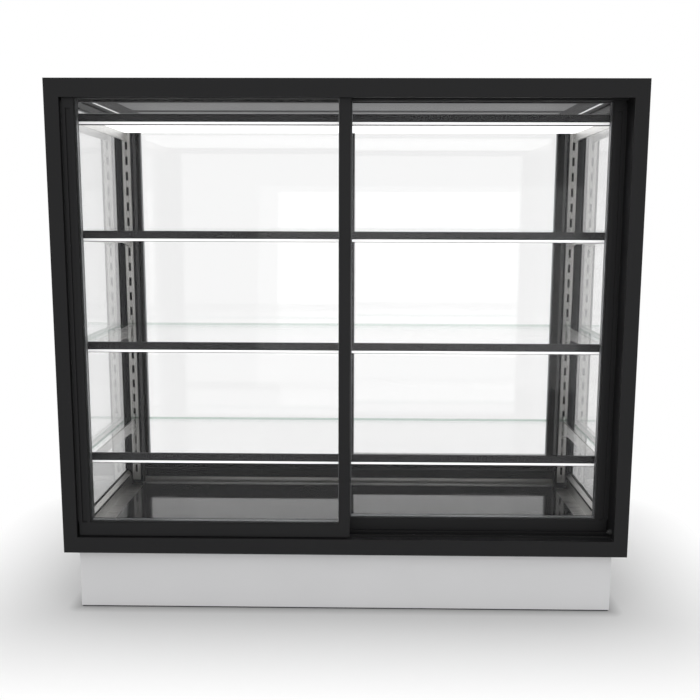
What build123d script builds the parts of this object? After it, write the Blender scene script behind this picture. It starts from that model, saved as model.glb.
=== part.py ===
from build123d import *

import math
import os

# Heated drop-in display case: a glass box on a low base that drops into a counter.
# Millimetres. +Z is up, the customer side faces -Y, the service side faces +Y.
# The origin is on the floor, under the middle of the case. Left means -X.

# Overall size
WIDTH = 1200.0
DEPTH = 600.0
HEIGHT = 1113.0
BASE_HEIGHT = 130.0
BASE_SIDE_INSET = 27.5
BASE_END_INSET = 20.0
REAR_RECESS = 20.0
SHEET = 2.0
PANEL_FLANGE = 12.0
FLOOR_GAP = 3.0
SCREW_RADIUS = 2.0
SCREW_HEAD = 2.0
SCREW_Z = 118.0
SIDE_SCREWS = (-240.0, -80.0, 80.0, 240.0)
REAR_SCREWS = (-555.0, -220.0, 220.0, 555.0)
LOUVRE_GROUPS = (-120.0, 160.0)
LOUVRE_ROWS = 7
LOUVRE_LENGTH = 110.0
LOUVRE_HEIGHT = 4.0
LOUVRE_PITCH = 11.0
LOUVRE_BOTTOM = 34.0

# Door portals, one at each end of the depth
PORTAL_DEPTH = 95.0
STILE_WIDTH = 30.0
TOP_RAIL_HEIGHT = 37.0
SILL_HEIGHT = 34.0
SILL_LIP_HEIGHT = 9.0
SILL_LIP_DEPTH = 7.0
OUTER_TRACK = 23.0
INNER_TRACK = 63.0
CHANNEL_WIDTH = 34.0
CHANNEL_DEPTH = 27.0
RIB_WIDTH = 3.0
RIB_HEIGHT = 4.0
DIVIDER = (40.0, 46.0)
DIVIDER_HEIGHT = 7.0
EDGE_BREAK = 1.0

# Sliding doors
DOOR_GAP = 3.0
DOOR_THICKNESS = 30.0
DOOR_LIFT = 2.0
DOOR_STILE = 24.0
MEETING_STILE = 22.0
DOOR_RAIL_TOP = 195.0
DOOR_HEAD_BOTTOM = 1076.0
DOOR_TOP = 1098.0
DOOR_PANE = 4.0
DOOR_CAVITY = 12.0
PANE_GRIP = 8.7
SILL_PANE_GRIP = 3.0
FIT_GAP = 0.3
SPACER_SHOW = 2.5
GRIP_FLUTE_WIDTH = 10.0
GRIP_FLUTE_DEPTH = 3.0
GRIP_FLUTE_TOP_GAP = 20.0
RIB_WAY = 8.0
RIB_WAY_GAP = 2.0
BRUSH_DEPTH = 24.0
BRUSH_TOP_GAP = 6.0
STOP_RADIUS = 6.0
STOP_LENGTH = 9.0
STOP_LEVELS = (178.0, 1087.0)

# Door rollers
ROLLER_RADIUS = 8.0
ROLLER_TREAD = 6.4
ROLLER_WIDTH = 8.0
ROLLER_GROOVE = 3.6
ROLLER_AXLE = 2.0
ROLLER_AXLE_LENGTH = 24.0
RUNNING_GAP = 0.05
ROLLER_INSET = 70.0
ROLLER_HEIGHT = 174.5
ROLLER_POCKET = 10.0
ROLLER_POCKET_GAP = 1.5
ROLLER_POCKET_ROOF = 0.4

# Side glass, roof and ceiling
SIDE_PANE = 3.0
SIDE_CAVITY = 5.0
SIDE_INNER_FACE = 586.0
PANE_SEAT = 6.0
SIDE_SILL_TOP = 165.0
SIDE_SILL_INNER = 580.0
SIDE_RAIL_INNER = 555.0
CEILING_HEIGHT = 1080.0
CEILING_SHEET = 3.0
ROOF_SHEET = 6.0

# Heated deck
DECK_TOP = 140.0
DECK_GLASS = 6.0
DECK_SHEET = 3.0
DECK_GLASS_HALF = 543.0
DECK_GLASS_FRONT = -175.0
DECK_GLASS_BACK = 190.0
BEAD_WIDTH = 3.0
END_BEAD_TOP = 150.0
SIDE_BEAD_TOP = 175.0
BEAD_LIP = 2.0
AIR_SLOTS = 13
AIR_SLOT_LENGTH = 60.0
AIR_SLOT_PITCH = 84.0
OUTLET_SLOT = (-196.0, -184.0)
RETURN_SLOT = (193.0, 199.0)

# Shelves, light bars and the lit canopy
SHELF_TOPS = {"lower": 323.0, "middle": 571.5, "top": 811.5}
CANOPY_TOP = 1055.0
SHELF_FRONT = -200.0
SHELF_BACK = 163.0
SHELF_GLASS = 6.0
SHELF_HALF = 578.0
BAR_HALF = 583.0
BAR_DEPTH = 16.0
BAR_FACE = 16.5
BAR_HEIGHT = 22.5
BAR_WALL = 1.0
BAR_REBATE = 6.0
LIGHT_SLOT_DEPTH = 10.0
LIGHT_HEIGHT = 5.0

# Corner posts, slotted strips and brackets
POST_INNER = 546.0
POST_FRONT = 175.0
STRIP_CENTRE = 562.0
STRIP_WIDTH = 20.0
STRIP_SHEET = 2.5
STRIP_BOTTOM = 150.0
STRIP_TOP = 1076.0
SLOT_PITCH = 38.1
LOWEST_SLOT = 180.8
SLOT_HEIGHT = 21.0
SLOT_WIDTH = 6.0
HOOK_CHANNEL = 10.0
HOOK_CHANNEL_DEPTH = 12.0
BRACKET_SHEET = 4.0
SHELF_BRACKET_DROP = 46.0
CANOPY_BRACKET_DROP = 28.0
BRACKET_EAR = 6.0
HOOK_BELOW = 9.0
HOOK_ABOVE = 3.0
HOOK_DEPTH = 6.0
BRACKET_TAPER = 60.0

# Warm air system in the base
FAN_SIZE = 120.0
FAN_DEPTH = 38.0
FAN_BORE = 57.0
FAN_CENTRE_Z = 66.0
IMPELLER_RADIUS = 55.0
IMPELLER_HUB = 22.0
FAN_SHAFT = 2.5
BLADES = 7
MOTOR_RADIUS = 20.0
MOTOR_DEPTH = 8.0
STRUT_WIDTH = 6.0
STRUT_DEPTH = 4.0
SHAFT_LENGTH = 24.0
SHAFT_BACK = 6.0
IMPELLER_START = 3.0
IMPELLER_DEPTH = 22.0
BLADE_ROOT = 4.0
BLADE_TWIST = 38.0
BLADE_CHORD = 24.0
BLADE_SHEET = 2.0
HEATER_TUBE = 4.0
HEATER_Y = -40.0
HEATER_REACH = 150.0
HEATER_BOTTOM = 24.0
HEATER_PITCH = 26.0
HEATER_RUNS = 4
HEATER_BEND = 11.0
HEATER_RACK_X = 110.0
HEATER_RACK_DEPTH = 16.0
DRIVER_SIZE = (160.0, 60.0, 34.0)
DRIVER_CENTRE = (280.0, 150.0)
DRIVER_CORNER = 3.0

# Service side controls, on the base's rear panel
CONTROL_Z = 78.0
CONTROLLER_X = -420.0
CONTROLLER_BODY = (71.0, 55.0, 29.0)
CONTROLLER_BEZEL = (76.0, 6.0, 34.0)
CONTROLLER_WINDOW = (44.0, 1.0, 20.0)
CONTROLLER_EDGE = 1.5
KEY_SIZE = (8.0, 5.0, 7.0)
KEY_WELL = (8.6, 5.5, 7.6)
KEY_PROUD = 1.2
KEY_OFFSET = 30.0
KEY_RISE = 6.5
KEY_EDGE = 0.6
SWITCH_X = -330.0
SWITCH_BODY = (22.0, 28.0, 30.0)
SWITCH_BEZEL = (26.0, 2.5, 34.0)
SWITCH_MOUTH = (18.4, 16.5, 27.6)
SWITCH_PIVOT = 1.5
SWITCH_PIVOT_DEPTH = 6.0
PIVOT_BORE_LENGTH = 21.0
PIVOT_LENGTH = 20.4
ROCKER_HALF = 8.8
ROCKER_TIP = -8.0
PANEL_HOLE_GAP = 0.5
GLAND_X = 500.0
GLAND_BORE = 5.5
GLAND_THREAD = 9.8
GLAND_CAP = 14.0
GLAND_REACH = 16.0
GLAND_TAIL = 20.0
GLAND_NUT = 6.0
GLAND_HOLE_GAP = 0.2
MOUNT_HOLE = 3.5
MOUNT_X = 500.0
MOUNT_Y = 220.0

# Lines worked out from the sizes above
half_width = WIDTH / 2
front = -DEPTH / 2
portal_back = front + PORTAL_DEPTH
stile_inner = half_width - STILE_WIDTH
base_half = half_width - BASE_SIDE_INSET
base_front = front + BASE_END_INSET
panel_back = -base_front - REAR_RECESS
sill_top = BASE_HEIGHT + SILL_HEIGHT
head_bottom = HEIGHT - TOP_RAIL_HEIGHT
door_bottom = sill_top + DOOR_LIFT
door_outer = stile_inner - DOOR_GAP
deck_bottom = DECK_TOP - DECK_GLASS
side_outer_face = SIDE_INNER_FACE + 2 * SIDE_PANE + SIDE_CAVITY
glass_groove = (SIDE_INNER_FACE - FIT_GAP, side_outer_face + FIT_GAP)


# Shared helpers

def block(x_span, y_span, z_span):
    """A box between two X values, two Y values and two Z values."""
    spans = (x_span, y_span, z_span)
    centre = [(low + high) / 2 for low, high in spans]
    size = [abs(high - low) for low, high in spans]
    return Pos(*centre) * Box(*size)


def around(middle, half):
    """The two ends of a span, from its middle and half its length."""
    return (middle - half, middle + half)


def rod(centre, radius, length, axis):
    """A cylinder centred on a point, along X, Y or Z."""
    turns = {"X": Rot(0, 90, 0), "Y": Rot(90, 0, 0), "Z": Rot(0, 0, 0)}
    return Pos(*centre) * turns[axis] * Cylinder(radius, length)


def prism_along_x(points, x_span):
    """A section drawn as (y, z) points and run from one X value to the other."""
    low, high = x_span
    outline = make_face(Polyline(*[(low, y, z) for y, z in points], close=True))
    return extrude(outline, amount=high - low, dir=(1, 0, 0))


def prism_along_y(points, y_span):
    """A section drawn as (x, z) points and run from one Y value to the other."""
    low, high = y_span
    outline = make_face(Polyline(*[(x, low, z) for x, z in points], close=True))
    return extrude(outline, amount=high - low, dir=(0, 1, 0))


def left_and_right(shape):
    """A piece on the right and its mirror image on the left."""
    return [shape, mirror(shape, about=Plane.YZ)]


def half_turned(shape):
    """The same piece at the other end of the case."""
    return Rot(0, 0, 180) * shape


def single_solids(shapes):
    """Every solid of a list of shapes, flattened."""
    found = []
    for shape in shapes:
        found.extend(shape.solids())
    return found


def save(name, *shapes):
    """Write one named piece, or a group of like pieces, to its own file."""
    solids = single_solids(shapes)
    piece = solids[0] if len(solids) == 1 else Compound(children=solids)
    piece.label = name
    export_step(piece, f"parts/{name}.step")


# Base

def panel_screw_places():
    """(x, y, z, axis) of the screws that hold the base's panels."""
    places = [(side * base_half, y, SCREW_Z, "X") for side in (-1, 1) for y in SIDE_SCREWS]
    return places + [(x, panel_back, SCREW_Z, "Y") for x in REAR_SCREWS]


def drill_screws(panel):
    for x, y, z, axis in panel_screw_places():
        panel -= rod((x, y, z), SCREW_RADIUS, 4 * SHEET, axis)
    return panel


def screws():
    """Pan heads outside the base's panels, each with its shank in the panel's hole."""
    solids = []
    shank = 3 * SHEET
    for x, y, z, axis in panel_screw_places():
        out = Vector(math.copysign(1, x), 0, 0) if axis == "X" else Vector(0, math.copysign(1, y), 0)
        face = Vector(x, y, z)
        head = rod(tuple(face + out * SCREW_HEAD / 2), 2 * SCREW_RADIUS, SCREW_HEAD, axis)
        stem = rod(tuple(face - out * shank / 2), SCREW_RADIUS, shank, axis)
        solids.append(head + stem)
    return solids


def panel_fold(y_span):
    """The folded top edge of a base panel, which sits up in the rebate under a portal's sill."""
    return block((-stile_inner, stile_inner), y_span, (BASE_HEIGHT, BASE_HEIGHT + SHEET))


def base_front_panel():
    """Plain sheet over the whole width of the base."""
    upright = (FLOOR_GAP, BASE_HEIGHT)
    sheet = block((-base_half, base_half), (base_front, base_front + SHEET), upright)
    return sheet + panel_fold((base_front, base_front + PANEL_FLANGE))


def panel_box(x, z, size, outer):
    """A box of some width, depth and height, centred at (x, z), with its outer face at Y = outer."""
    width, depth, height = size
    return block(around(x, width / 2), (outer - depth, outer), around(z, height / 2))


def base_rear_panel():
    """The service side's panel, with louvres and holes for the controls. It stands further in
    than the base's outline, so that nothing on it catches as the base drops into a counter."""
    edge = base_half - SHEET
    through = (panel_back - 2 * SHEET, panel_back + SHEET)
    panel = block((-edge, edge), (panel_back - SHEET, panel_back), (FLOOR_GAP, BASE_HEIGHT))
    panel += panel_fold((panel_back - PANEL_FLANGE, panel_back))
    for group in LOUVRE_GROUPS:
        for row in range(LOUVRE_ROWS):
            z = LOUVRE_BOTTOM + LOUVRE_PITCH * row
            panel -= block(around(group, LOUVRE_LENGTH / 2), through, (z, z + LOUVRE_HEIGHT))
    for x, (width, _, height) in ((CONTROLLER_X, CONTROLLER_BODY), (SWITCH_X, SWITCH_BODY)):
        half_hole = (width / 2 + PANEL_HOLE_GAP, height / 2 + PANEL_HOLE_GAP)
        panel -= block(around(x, half_hole[0]), through, around(CONTROL_Z, half_hole[1]))
    panel -= rod((GLAND_X, panel_back, CONTROL_Z), GLAND_THREAD + GLAND_HOLE_GAP, 8 * SHEET, "Y")
    return drill_screws(panel)


def base_side_panels():
    """Plain sheets whose top edges carry the deck between the portals."""
    thickness = (base_half - SHEET, base_half)
    panel = block(thickness, (base_front + SHEET, -base_front), (FLOOR_GAP, BASE_HEIGHT))
    panel += block(thickness, (portal_back, -portal_back), (BASE_HEIGHT, deck_bottom - DECK_SHEET))
    return [drill_screws(side) for side in left_and_right(panel)]


def base_floor_plate():
    """The base's floor, a tray whose upturned edges tie the panels together above a shadow gap,
    with four holes to bolt it to a plinth."""
    edge = base_half - SHEET
    near, far = base_front + SHEET, panel_back - SHEET
    plate = block((-edge, edge), (near, far), (0, PANEL_FLANGE))
    plate -= block((SHEET - edge, edge - SHEET), (near + SHEET, far - SHEET), (SHEET, PANEL_FLANGE))
    for x in (-MOUNT_X, MOUNT_X):
        for y in (-MOUNT_Y, MOUNT_Y):
            plate -= rod((x, y, SHEET / 2), MOUNT_HOLE, 4 * SHEET, "Z")
    return plate


# Deck

def deck_pan():
    """Flat steel deck, with warm air outlets along its front and returns along its back."""
    pan = block(
        (-SIDE_SILL_INNER, SIDE_SILL_INNER),
        (portal_back, -portal_back),
        (deck_bottom - DECK_SHEET, deck_bottom),
    )
    through = (deck_bottom - 2 * DECK_SHEET, deck_bottom + DECK_SHEET)
    for slot in range(AIR_SLOTS):
        x_span = around((slot - AIR_SLOTS // 2) * AIR_SLOT_PITCH, AIR_SLOT_LENGTH / 2)
        pan -= block(x_span, OUTLET_SLOT, through) + block(x_span, RETURN_SLOT, through)
    return pan


def deck_glass():
    plate = block(
        (-DECK_GLASS_HALF, DECK_GLASS_HALF),
        (DECK_GLASS_FRONT, DECK_GLASS_BACK),
        (deck_bottom, DECK_TOP),
    )
    return chamfer(plate.edges().group_by(Axis.Z)[-1], EDGE_BREAK)


def deck_beads():
    """Steel beads round the deck: sloped ones against the side glass, low ones at the ends."""
    grip = SIDE_INNER_FACE - FIT_GAP
    foot = SIDE_SILL_INNER - BEAD_WIDTH
    section = [
        (foot, deck_bottom),
        (SIDE_SILL_INNER, deck_bottom),
        (SIDE_SILL_INNER, SIDE_SILL_TOP),
        (grip, SIDE_SILL_TOP),
        (grip, SIDE_BEAD_TOP),
        (grip - BEAD_LIP, SIDE_BEAD_TOP),
        (foot, SIDE_SILL_TOP),
    ]
    side = prism_along_y(section, (portal_back + BEAD_WIDTH, POST_FRONT))
    upright = (deck_bottom, END_BEAD_TOP)
    at_front = block((-foot, foot), (portal_back, portal_back + BEAD_WIDTH), upright)
    at_back = block((-POST_INNER, POST_INNER), (-portal_back - BEAD_WIDTH, -portal_back), upright)
    return left_and_right(side) + [at_front, at_back]


# Portals

def portal_stile():
    """Front right upright of the outer frame, grooved at its back for the side glass."""
    stile = block((stile_inner, half_width), (front, portal_back), (BASE_HEIGHT, HEIGHT))
    outer_edges = stile.edges().filter_by(Axis.Z).group_by(Axis.X)[-1].sort_by(Axis.Y)[0:1]
    top_edges = stile.faces().sort_by(Axis.Z)[-1].edges().filter_by(Axis.X).sort_by(Axis.Y)[0:1]
    stile = chamfer(outer_edges + top_edges, EDGE_BREAK)
    seat = (SIDE_SILL_TOP - PANE_SEAT, head_bottom + PANE_SEAT)
    return stile - block(glass_groove, (portal_back - PANE_SEAT, portal_back), seat)


def corner_stiles():
    pair = left_and_right(portal_stile())
    return pair + [half_turned(stile) for stile in pair]


def top_track():
    """Front head rail: a face, and two channels that guide the doors' top edges."""
    rail = block((-stile_inner, stile_inner), (front, portal_back), (head_bottom, HEIGHT))
    edge = rail.faces().sort_by(Axis.Z)[-1].edges().filter_by(Axis.X).sort_by(Axis.Y)[0:1]
    rail = chamfer(edge, EDGE_BREAK)
    for track in (OUTER_TRACK, INNER_TRACK):
        middle = front + track
        width = around(middle, CHANNEL_WIDTH / 2)
        rail -= block((-stile_inner, stile_inner), width, (head_bottom, head_bottom + CHANNEL_DEPTH))
    return rail


def bottom_track():
    """Front sill: two ribs for the rollers, a divider between them, a lip at its back and a rebate
    for the base."""
    length = (-stile_inner, stile_inner)
    sill = block(length, (front, portal_back), (BASE_HEIGHT, sill_top))
    lip = (portal_back - SILL_LIP_DEPTH, portal_back)
    sill += block(length, lip, (sill_top, sill_top + SILL_LIP_HEIGHT))
    for track in (OUTER_TRACK, INNER_TRACK):
        middle = front + track
        rib = around(middle, RIB_WIDTH / 2)
        sill += block(length, rib, (sill_top, sill_top + RIB_HEIGHT))
    divider = (front + DIVIDER[0], front + DIVIDER[1])
    sill += block(length, divider, (sill_top, sill_top + DIVIDER_HEIGHT))
    return sill - block(length, (base_front, portal_back), (BASE_HEIGHT, BASE_HEIGHT + SHEET))


# Sides and roof

def side_top_rails():
    length = (portal_back, -portal_back)
    rail = block((SIDE_RAIL_INNER, half_width), length, (head_bottom, HEIGHT))
    rail -= block(glass_groove, length, (head_bottom, head_bottom + PANE_SEAT))
    return left_and_right(rail)


def side_sills():
    length = (portal_back, -portal_back)
    sill = block((SIDE_SILL_INNER, half_width), length, (BASE_HEIGHT, SIDE_SILL_TOP))
    sill -= block(glass_groove, length, (SIDE_SILL_TOP - PANE_SEAT, SIDE_SILL_TOP))
    return left_and_right(sill)


def side_glazing_spans():
    """Y and Z limits of the side panes, seated in the grooves around them."""
    reach = -portal_back + PANE_SEAT - FIT_GAP
    low = SIDE_SILL_TOP - PANE_SEAT + FIT_GAP
    high = head_bottom + PANE_SEAT - FIT_GAP
    return (-reach, reach), (low, high)


def side_panes():
    """The right inner and outer panes, and the left ones."""
    y_span, z_span = side_glazing_spans()
    inner = block((SIDE_INNER_FACE, SIDE_INNER_FACE + SIDE_PANE), y_span, z_span)
    outer = block((side_outer_face - SIDE_PANE, side_outer_face), y_span, z_span)
    return left_and_right(inner) + left_and_right(outer)


def side_spacers():
    """The spacer between each side's two panes."""
    (y_low, y_high), (z_low, z_high) = side_glazing_spans()
    x_span = (SIDE_INNER_FACE + SIDE_PANE, side_outer_face - SIDE_PANE)
    width = PANE_SEAT + SPACER_SHOW
    spacer = block(x_span, (y_low, y_high), (z_low, z_high))
    spacer -= block(x_span, (y_low + width, y_high - width), (z_low + width, z_high - width))
    return left_and_right(spacer)


def roof_panel():
    return block(
        (-SIDE_RAIL_INNER, SIDE_RAIL_INNER),
        (portal_back, -portal_back),
        (HEIGHT - ROOF_SHEET, HEIGHT),
    )


def ceiling_liner():
    return block(
        (-SIDE_RAIL_INNER, SIDE_RAIL_INNER),
        (portal_back, -portal_back),
        (CEILING_HEIGHT, CEILING_HEIGHT + CEILING_SHEET),
    )


# Shelves

def light_levels():
    """Heights of the four light bars: three shelves and the canopy."""
    return list(SHELF_TOPS.values()) + [CANOPY_TOP]


def shelf_plate(top):
    """A plate whose front edge sits in the rebate of its light bar."""
    rest = SHELF_FRONT + BAR_REBATE + FIT_GAP
    return block((-SHELF_HALF, SHELF_HALF), (rest, SHELF_BACK), (top - SHELF_GLASS, top))


def light_bar(top):
    """Aluminium front bar: a face, a rebate for the plate and a slot for the light below."""
    slot_bottom = BAR_WALL - BAR_HEIGHT
    section = [
        (0, 0),
        (0, -BAR_FACE),
        (LIGHT_SLOT_DEPTH, -BAR_FACE),
        (LIGHT_SLOT_DEPTH, slot_bottom),
        (BAR_WALL, slot_bottom),
        (BAR_WALL, -BAR_HEIGHT),
        (BAR_DEPTH, -BAR_HEIGHT),
        (BAR_DEPTH, -SHELF_GLASS),
        (BAR_REBATE, -SHELF_GLASS),
        (BAR_REBATE, 0),
    ]
    places = [(SHELF_FRONT + y, top + z) for y, z in section]
    return prism_along_x(places, (-BAR_HALF, BAR_HALF))


def led_diffuser(top):
    """The lit strip in the slot under a bar's face."""
    z_span = (top - BAR_FACE - LIGHT_HEIGHT, top - BAR_FACE)
    y_span = (SHELF_FRONT + BAR_WALL, SHELF_FRONT + LIGHT_SLOT_DEPTH)
    return block((-BAR_HALF, BAR_HALF), y_span, z_span)


def slot_centres():
    """Heights of the slots' centres in a strip."""
    count = int((STRIP_TOP - SLOT_HEIGHT / 2 - LOWEST_SLOT) // SLOT_PITCH) + 1
    return [LOWEST_SLOT + step * SLOT_PITCH for step in range(count)]


def shelf_bracket(top, drop):
    """Right-hand arm under a plate, with an ear behind the plate and a hook in the slot it meets."""
    arm_top = top - SHELF_GLASS
    arm_bottom = top - drop
    ear_top = top + BRACKET_EAR
    strip_face = POST_FRONT - STRIP_SHEET
    bar_back = SHELF_FRONT + BAR_DEPTH
    profile = [
        (bar_back, arm_top),
        (bar_back, top - BAR_HEIGHT),
        (strip_face - BRACKET_TAPER, arm_bottom + (drop - BAR_HEIGHT) / 2),
        (strip_face, arm_bottom),
        (strip_face, ear_top),
        (SHELF_BACK + FIT_GAP, ear_top),
        (SHELF_BACK + FIT_GAP, arm_top),
    ]
    thickness = around(STRIP_CENTRE, BRACKET_SHEET / 2)
    arm = prism_along_x(profile, thickness)
    for centre in slot_centres():
        hook = (centre - HOOK_BELOW, centre + HOOK_ABOVE)
        if arm_bottom <= hook[0] and hook[1] <= ear_top:
            arm += block(thickness, (strip_face, POST_FRONT + HOOK_DEPTH), hook)
    return arm


def shelf_brackets():
    arms = left_and_right(shelf_bracket(CANOPY_TOP, CANOPY_BRACKET_DROP))
    for top in SHELF_TOPS.values():
        arms.extend(left_and_right(shelf_bracket(top, SHELF_BRACKET_DROP)))
    return arms


def corner_posts():
    """Service side uprights, each with a channel behind the strip for the hooks."""
    y_span = (POST_FRONT, -portal_back)
    post = block((POST_INNER, SIDE_INNER_FACE), y_span, (deck_bottom, head_bottom))
    post -= block((SIDE_SILL_INNER, SIDE_INNER_FACE), y_span, (deck_bottom, SIDE_SILL_TOP))
    channel = around(STRIP_CENTRE, HOOK_CHANNEL / 2)
    depth = (POST_FRONT, POST_FRONT + HOOK_CHANNEL_DEPTH)
    post -= block(channel, depth, (STRIP_BOTTOM, STRIP_TOP))
    return left_and_right(post)


def slotted_strips():
    y_span = (POST_FRONT - STRIP_SHEET, POST_FRONT)
    strip = block(around(STRIP_CENTRE, STRIP_WIDTH / 2), y_span, (STRIP_BOTTOM, STRIP_TOP))
    for centre in slot_centres():
        strip -= block(around(STRIP_CENTRE, SLOT_WIDTH / 2), y_span, around(centre, SLOT_HEIGHT / 2))
    return left_and_right(strip)


# Warm air

def air_baffle():
    """Wall across the base between the return side and the outlet side."""
    edge = base_half - 2 * SHEET
    wall = block((-edge, edge), (-SHEET / 2, SHEET / 2), (SHEET, deck_bottom - DECK_SHEET))
    return wall - rod((0, 0, FAN_CENTRE_Z), FAN_BORE, 4 * SHEET, "Y")


def fan_housing():
    """Square fan body with its motor, held by four struts, and the motor's shaft."""
    start = SHEET / 2
    end = start + FAN_DEPTH
    half = FAN_SIZE / 2
    centre_z = FAN_CENTRE_Z
    frame = block((-half, half), (start, end), (centre_z - half, centre_z + half))
    frame -= rod((0, (start + end) / 2, centre_z), FAN_BORE, 2 * FAN_DEPTH, "Y")
    motor = rod((0, end - MOTOR_DEPTH / 2, centre_z), MOTOR_RADIUS, MOTOR_DEPTH, "Y")
    for angle in (45, 135):
        strut = Box(2 * FAN_BORE + STRUT_WIDTH, STRUT_DEPTH, STRUT_WIDTH)
        motor += Pos(0, end - STRUT_DEPTH / 2, centre_z) * Rot(0, angle, 0) * strut
    shaft_middle = end - SHAFT_BACK - SHAFT_LENGTH / 2
    motor += rod((0, shaft_middle, centre_z), FAN_SHAFT, SHAFT_LENGTH, "Y")
    return frame + motor


def fan_impeller():
    """Hub with a bore for the shaft, and seven twisted blades."""
    low = SHEET / 2 + IMPELLER_START
    high = low + IMPELLER_DEPTH
    middle = (low + high) / 2
    rotor = rod((0, middle, FAN_CENTRE_Z), IMPELLER_HUB, high - low, "Y")
    reach = IMPELLER_RADIUS - IMPELLER_HUB + BLADE_ROOT
    for step in range(BLADES):
        blade = Rot(0, 0, BLADE_TWIST) * Box(BLADE_CHORD, BLADE_SHEET, reach)
        blade = Pos(0, 0, IMPELLER_HUB - BLADE_ROOT + reach / 2) * blade
        rotor += Pos(0, middle, FAN_CENTRE_Z) * Rot(0, step * 360 / BLADES, 0) * blade
    return rotor - rod((0, middle, FAN_CENTRE_Z), FAN_SHAFT + RUNNING_GAP, 4 * (high - low), "Y")


def air_heater():
    """Tube element that runs back and forth in front of the fan, in two upright racks."""
    levels = [HEATER_BOTTOM + HEATER_PITCH * row for row in range(HEATER_RUNS)]
    corners = []
    for row, z in enumerate(levels):
        ends = (-HEATER_REACH, HEATER_REACH) if row % 2 == 0 else (HEATER_REACH, -HEATER_REACH)
        corners.extend((x, HEATER_Y, z) for x in ends)
    path = FilletPolyline(*corners, radius=HEATER_BEND)
    section = Plane(origin=corners[0], z_dir=(1, 0, 0)) * Circle(HEATER_TUBE)
    pieces = [sweep(section, path=path)]
    for x in (-HEATER_RACK_X, HEATER_RACK_X):
        y_span = around(HEATER_Y, HEATER_RACK_DEPTH / 2)
        rack = block(around(x, SHEET / 2), y_span, (SHEET, levels[-1] + HEATER_PITCH / 2))
        for z in levels:
            rack -= rod((x, HEATER_Y, z), HEATER_TUBE + RUNNING_GAP, 4 * SHEET, "X")
        pieces.append(rack)
    return pieces


def led_driver():
    (length, depth, height), (x, y) = DRIVER_SIZE, DRIVER_CENTRE
    case = block(around(x, length / 2), around(y, depth / 2), (SHEET, SHEET + height))
    return chamfer(case.edges().filter_by(Axis.Z), DRIVER_CORNER)


# Controls on the service side

def button_centres():
    """(x, z) of the controller's three keys."""
    return {
        "up": (CONTROLLER_X - KEY_OFFSET, CONTROL_Z + KEY_RISE),
        "down": (CONTROLLER_X - KEY_OFFSET, CONTROL_Z - KEY_RISE),
        "set": (CONTROLLER_X + KEY_OFFSET, CONTROL_Z),
    }


def controller():
    """Digital thermostat: a body behind the panel and a bezel with a window and three keys."""
    face = panel_back + CONTROLLER_BEZEL[1]
    body = panel_box(CONTROLLER_X, CONTROL_Z, CONTROLLER_BODY, panel_back)
    bezel = panel_box(CONTROLLER_X, CONTROL_Z, CONTROLLER_BEZEL, face)
    bezel = chamfer(bezel.faces().sort_by(Axis.Y)[-1].edges(), CONTROLLER_EDGE)
    case = body + bezel - panel_box(CONTROLLER_X, CONTROL_Z, CONTROLLER_WINDOW, face)
    for x, z in button_centres().values():
        case -= panel_box(x, z, KEY_WELL, face)
    return case


def controller_button(x, z):
    key = panel_box(x, z, KEY_SIZE, panel_back + CONTROLLER_BEZEL[1] + KEY_PROUD)
    return chamfer(key.faces().sort_by(Axis.Y)[-1].edges(), KEY_EDGE)


def switch_pivot():
    return (SWITCH_X, panel_back - SWITCH_PIVOT_DEPTH, CONTROL_Z)


def switch_housing():
    """Rocker switch body with a bezel, open at the front, with a pivot hole in each wall."""
    face = panel_back + SWITCH_BEZEL[1]
    body = panel_box(SWITCH_X, CONTROL_Z, SWITCH_BODY, panel_back)
    bezel = panel_box(SWITCH_X, CONTROL_Z, SWITCH_BEZEL, face)
    mouth = panel_box(SWITCH_X, CONTROL_Z, SWITCH_MOUTH, face)
    bore = rod(switch_pivot(), SWITCH_PIVOT + RUNNING_GAP, PIVOT_BORE_LENGTH, "X")
    return body + bezel - mouth - bore


def power_rocker():
    """Rocker with a hollowed face and two pivot stubs, modelled tipped to its off side."""
    x, y, z = switch_pivot()
    section = [(-4, -5), (2, -12), (9.5, -12), (7, 0), (9.5, 12), (2, 12), (-4, 5)]
    body = prism_along_x(section, (-ROCKER_HALF, ROCKER_HALF))
    body += rod((0, 0, 0), SWITCH_PIVOT, PIVOT_LENGTH, "X")
    return Pos(x, y, z) * Rot(ROCKER_TIP, 0, 0) * body


def hexagon(y_span):
    """Six-sided nut form round the gland's axis."""
    low, high = y_span
    outline = Pos(GLAND_X, (low + high) / 2, CONTROL_Z) * Rot(90, 0, 0) * RegularPolygon(GLAND_CAP, 6)
    return extrude(outline, amount=(high - low) / 2, both=True)


def cable_gland():
    """Gland for the supply cable: a threaded body through the panel, a cap and a lock nut."""
    tail = panel_back - GLAND_TAIL
    mouth = panel_back + GLAND_REACH
    body = rod((GLAND_X, (tail + mouth) / 2, CONTROL_Z), GLAND_THREAD, mouth - tail, "Y")
    cap = hexagon((panel_back, mouth))
    nut = hexagon((panel_back - SHEET - GLAND_NUT, panel_back - SHEET))
    return body + cap + nut - rod((GLAND_X, panel_back, CONTROL_Z), GLAND_BORE, 4 * GLAND_TAIL, "Y")


# Seals and stops

def brush_seals():
    """A pile strip on each outer stile, in the track of the door that closes on it."""
    x_span = (door_outer + FIT_GAP, stile_inner)
    strips = []
    for side, track in ((1, INNER_TRACK), (-1, OUTER_TRACK)):
        middle = front + track
        z_span = (DOOR_RAIL_TOP, DOOR_HEAD_BOTTOM - BRUSH_TOP_GAP)
        strip = block(x_span, around(middle, BRUSH_DEPTH / 2), z_span)
        strips.append(strip if side > 0 else mirror(strip, about=Plane.YZ))
    return strips + [half_turned(strip) for strip in strips]


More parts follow.
